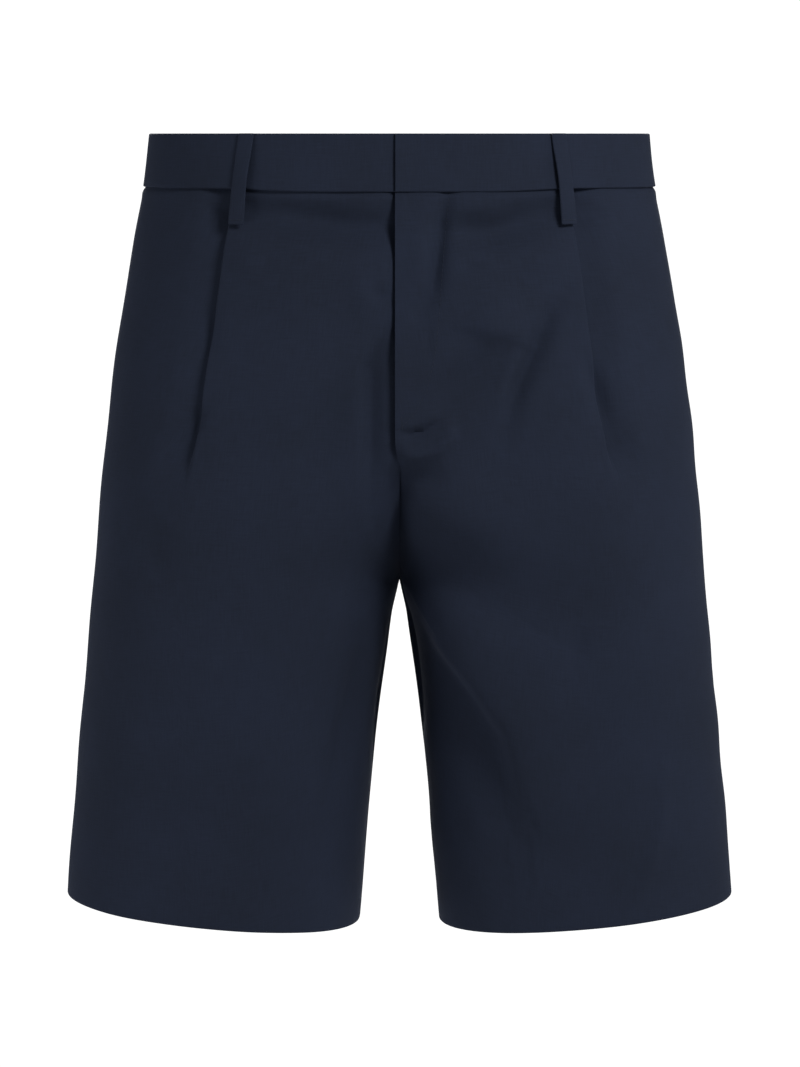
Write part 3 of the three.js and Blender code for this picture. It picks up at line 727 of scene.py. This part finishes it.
def band_lift(ring, flat, height, side):
    """How far the band stands out: the lap at the front, a slight wave, and a pressed dimple."""
    lapped = (flat < flat[-1] / 2) * (1 - ease((ring[:, 0] + FLY_LAP) / FLY_LIFT_WIDTH))
    lift = lapped * (FLY_LIFT if side > 0 else -BAND_SINK)
    wave = np.sin(2 * math.pi * flat / BAND_WAVE_LENGTH + side)
    lift = lift + BAND_WAVE * wave * math.sin(-height * math.pi / BAND_HEIGHT)
    if side > 0:
        off = np.hypot(ring[:, 0] - DIMPLE["x"], ring[:, 2] - DIMPLE["z"]) / DIMPLE["half_width"]
        lift = lift - DIMPLE["depth"] * (ring[:, 1] < 0) * np.exp(-off * off)
    return lift


def waistband_half(name, side):
    """Half the waistband: its section carried round the waist from the front to the back seam."""
    front_cut = SEAM_GAP / 2 - (FLY_LAP if side > 0 else BAND_UNDERLAP)
    rings, places = [], []
    for height, outward in band_profile():
        ring, flat = band_ring(height, front_cut)
        ahead = np.concatenate([ring[1:], ring[-1:]])
        behind = np.concatenate([ring[:1], ring[:-1]])
        way = unit((ahead - behind)[:, :2])
        out = np.stack([way[:, 1], -way[:, 0], np.zeros(len(way))], axis=1)
        rings.append(ring + out * (outward + band_lift(ring, flat, height, side))[:, None])
        places.append(np.stack([flat, np.full(len(flat), height)], axis=1))
    grid = np.array(rings)
    rows, columns = grid.shape[:2]
    index = np.arange(rows * columns).reshape(rows, columns)
    after = np.roll(index, -1, axis=0)
    faces = quads(index[:, :-1], index[:, 1:], after[:, 1:], after[:, :-1]).tolist()
    faces += [index[:, 0].tolist(), index[::-1, -1].tolist()]
    flat = np.array(places).reshape(-1, 2)
    band = piece_from(name + "_cloth", grid.reshape(-1, 3), faces, flat, side, BAND_SHARP_TURN)
    dress(band, name)


for name, side in (("left_waistband", 1), ("right_waistband", -1)):
    waistband_half(name, side)


# The belt loops
# Five straight loops of the same cloth, folded to 10.5 mm, sewn into the band's top edge and
# tacked down below its seam. They stand a little off the band between their ends, most along
# the edge nearer the middle of the body.
LOOP_WIDTH = 10.5
LOOP_WALL = 1.4
LOOP_FOOT = -57.0
LOOP_BOW = 1.2
LOOP_TILT = 1.0
LOOP_CROWN = 0.3
LOOP_TUCK = 0.5
LOOP_TUCK_LENGTH = 2.5
LOOP_ROWS = 40
LOOP_PARTS = 12
LOOP_SHARP_TURN = 50.0
LOOP_BEVEL = 0.5
LOOP_COLUMNS = ("name", "side", "face", "top", "foot")
LOOPS = [
    ("belt_loop_front_left", 1, "front", 98.7, 105.5),
    ("belt_loop_front_right", -1, "front", 94.8, 101.5),
    ("belt_loop_side_left", 1, "back", 136.0, 141.0),
    ("belt_loop_side_right", -1, "back", 136.0, 141.0),
    ("belt_loop_back", 1, "back", 0.0, 0.0),
]


def belt_loop(name, side, face, top, foot):
    """A belt loop that leans from its place at the band's top edge to its place at the foot."""
    grid, flat_u = [], []
    for i in range(LOOP_ROWS + 1):
        way_down = i / LOOP_ROWS
        points, lengths = section_line(LOOP_FOOT * way_down, face, -LOOP_WIDTH)[:2]
        middle = np.interp(top + (foot - top) * way_down, points[:, 0], lengths)
        share = np.arange(LOOP_PARTS + 1) / LOOP_PARTS - 0.5
        stand = math.sin(math.pi * way_down) ** 2
        out = BAND_PROUD + SEAM_GAP + LOOP_WALL / 2 + LOOP_CROWN * (1 - (2 * share) ** 4)
        out += stand * (LOOP_BOW - LOOP_TILT * 2 * share * (top > 0))
        out -= LOOP_TUCK * math.exp(LOOP_FOOT * (way_down - 1) / -LOOP_TUCK_LENGTH)
        inward = -out if face == "front" else out
        grid.append(along(points, lengths, middle + LOOP_WIDTH * share, inward))
        flat_u.append(LOOP_WIDTH * share)
    grid, flat_u = np.array(grid), np.array(flat_u)
    loop = wall_piece(name + "_cloth", grid, face, side, LOOP_WALL, flat_u, down_lengths(grid))
    bevel = loop.modifiers.new("rounded_edges", "BEVEL")
    bevel.width = LOOP_BEVEL * MM
    bevel.segments = 2
    bevel.angle_limit = math.radians(LOOP_SHARP_TURN)
    dress(loop, name)
    return loop


loops = [belt_loop(**dict(zip(LOOP_COLUMNS, row))) for row in LOOPS]


# The stitching
# Matt navy polyester thread. One curved row holds the fly's facing behind the left front, and
# dense bar tacks hold the fly's foot and the lower ends of the belt loops.
THREAD = "#1b202b"
STITCH_SPACING = 3.0
STITCH_LENGTH = 2.3
STITCH_THICKNESS = 0.4
TACK_SPACING = 0.45
TACK_LENGTH = 1.6
TACK_THICKNESS = 0.4
STITCH_SEED = 7
STITCH_UNEVEN = (0.9, 1.1)
THREAD_ROUGHNESS = 0.8
THREAD_SHINE = 0.2
FLY_STITCH = [(31, -39), (29, -60), (26.5, -90), (24.5, -120), (22, -142), (17, -163), (9, -178),
              (0, -187)]
FLY_TACK = [(1.5, -180), (1.8, -187)]
LOOP_TACK_RISE = 3.0
LOOP_TACK_MARGIN = 1.4
ROUTE_PARTS = 12
RAY_START = 0.4

thread = bpy.data.materials.new("matt_navy_polyester_thread")
thread.use_nodes = True
thread_shader = thread.node_tree.nodes["Principled BSDF"]
twist = put_node(thread.node_tree, "ShaderNodeTexCoord")
strands = put_node(thread.node_tree, "ShaderNodeTexNoise", [("Vector", twist.outputs["Object"])],
                   scale=1 / (STITCH_THICKNESS * MM), detail=1.0)
strand_colour = put_node(thread.node_tree, "ShaderNodeMix", [("Factor", strands.outputs["Fac"])],
                         data_type="RGBA")
strand_colour.inputs[6].default_value = linear(THREAD)
strand_colour.inputs[7].default_value = linear(NAVY_LIGHTER)
thread.node_tree.links.new(strand_colour.outputs[2], thread_shader.inputs["Base Color"])
thread_shader.inputs["Roughness"].default_value = THREAD_ROUGHNESS
thread_shader.inputs["Specular IOR Level"].default_value = THREAD_SHINE

stitch_tree = bpy.data.node_groups.new("stitches", "GeometryNodeTree")
STITCH_INPUTS = [("Route", "NodeSocketGeometry"), ("Spacing", "NodeSocketFloat"),
                 ("Length", "NodeSocketFloat"), ("Thickness", "NodeSocketFloat")]
stitch_sockets = {name: stitch_tree.interface.new_socket(name, in_out="INPUT", socket_type=kind)
                  for name, kind in STITCH_INPUTS}
stitch_tree.interface.new_socket("Stitches", in_out="OUTPUT", socket_type="NodeSocketGeometry")
given = put_node(stitch_tree, "NodeGroupInput")
route = put_node(stitch_tree, "GeometryNodeMeshToCurve", [("Mesh", given.outputs["Route"])])
holes = put_node(stitch_tree, "GeometryNodeResampleCurve",
                 [("Curve", route.outputs["Curve"]), ("Length", given.outputs["Spacing"])],
                 mode="LENGTH")
outward = put_node(stitch_tree, "GeometryNodeInputNamedAttribute", data_type="FLOAT_VECTOR")
outward.inputs["Name"].default_value = "outward"
tangent = put_node(stitch_tree, "GeometryNodeInputTangent")
lie = put_node(stitch_tree, "FunctionNodeAxesToRotation",
               [("Primary Axis", tangent.outputs["Tangent"]),
                ("Secondary Axis", outward.outputs["Attribute"])],
               primary_axis="X", secondary_axis="Z")
size = put_node(stitch_tree, "ShaderNodeCombineXYZ",
                [("X", given.outputs["Length"]), ("Y", given.outputs["Thickness"]),
                 ("Z", given.outputs["Thickness"])])
uneven = put_node(stitch_tree, "FunctionNodeRandomValue", data_type="FLOAT")
uneven.inputs[2].default_value = STITCH_UNEVEN[0]
uneven.inputs[3].default_value = STITCH_UNEVEN[1]
uneven.inputs["Seed"].default_value = STITCH_SEED
scaled = put_node(stitch_tree, "ShaderNodeVectorMath",
                  [(0, size.outputs["Vector"]), ("Scale", uneven.outputs[1])], operation="SCALE")
bead = put_node(stitch_tree, "GeometryNodeMeshUVSphere", segments=8, rings=6, radius=0.5)
placed = put_node(stitch_tree, "GeometryNodeInstanceOnPoints",
                  [("Points", holes.outputs["Curve"]), ("Instance", bead.outputs["Mesh"]),
                   ("Rotation", lie.outputs["Rotation"]), ("Scale", scaled.outputs["Vector"])])
solid = put_node(stitch_tree, "GeometryNodeRealizeInstances",
                 [("Geometry", placed.outputs["Instances"])])
sewn = put_node(stitch_tree, "GeometryNodeSetMaterial", [("Geometry", solid.outputs["Geometry"])],
                material=thread)
put_node(stitch_tree, "NodeGroupOutput", [("Stitches", sewn.outputs["Geometry"])])


def surface_route(piece, corners, face):
    """Points and outward directions where level lines from the front or back meet a piece."""
    mesh = piece.data
    cloth_tree = BVHTree.FromPolygons([v.co for v in mesh.vertices],
                                      [tuple(p.vertices) for p in mesh.polygons])
    xs, zs = np.array(corners, dtype=float).T
    start = -RAY_START if face == "front" else RAY_START
    places = np.linspace(0, len(corners) - 1, ROUTE_PARTS * (len(corners) - 1) + 1)
    route_points, route_ways = [], []
    for place in places:
        x = float(np.interp(place, range(len(corners)), xs)) * MM
        z = float(np.interp(place, range(len(corners)), zs)) * MM
        found, way = cloth_tree.ray_cast(Vector((x, start, z)), Vector((0, -start, 0)))[:2]
        route_points.append(found)
        route_ways.append(way)
    return route_points, route_ways


def stitch_row(name, route_points, route_ways, spacing, length, thickness):
    """A row of stitches along a route, made by the node tree and kept as a plain mesh."""
    mesh = bpy.data.meshes.new(name)
    mesh.from_pydata(route_points, [(k, k + 1) for k in range(len(route_points) - 1)], [])
    attribute = mesh.attributes.new("outward", "FLOAT_VECTOR", "POINT")
    attribute.data.foreach_set("vector", np.array(route_ways, dtype=float).ravel())
    row = bpy.data.objects.new(name, mesh)
    bpy.context.collection.objects.link(row)
    sewing = row.modifiers.new("stitches", "NODES")
    sewing.node_group = stitch_tree
    for socket, value in (("Spacing", spacing), ("Length", length), ("Thickness", thickness)):
        sewing[stitch_sockets[socket].identifier] = value * MM
    evaluated = row.evaluated_get(bpy.context.evaluated_depsgraph_get())
    made = bpy.data.meshes.new_from_object(evaluated)
    row.modifiers.clear()
    row.data = made
    made.name = name
    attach(row, "root")


stitch_row("fly_stitches", *surface_route(left_front, FLY_STITCH, "front"), STITCH_SPACING,
           STITCH_LENGTH, STITCH_THICKNESS)
stitch_row("fly_foot_tack", *surface_route(left_front, FLY_TACK, "front"), TACK_SPACING,
           TACK_LENGTH, TACK_THICKNESS)
for row, loop in zip(LOOPS, loops):
    spots = np.array([vertex.co for vertex in loop.data.vertices]) / MM
    tack_height = spots[:, 2].min() + LOOP_TACK_RISE
    foot_reach = spots[spots[:, 2] < tack_height, 0]
    ends = [(foot_reach.min() + LOOP_TACK_MARGIN, tack_height),
            (foot_reach.max() - LOOP_TACK_MARGIN, tack_height)]
    face = row[LOOP_COLUMNS.index("face")]
    stitch_row(loop.name + "_tack", *surface_route(loop, ends, face), TACK_SPACING, TACK_LENGTH,
               TACK_THICKNESS)
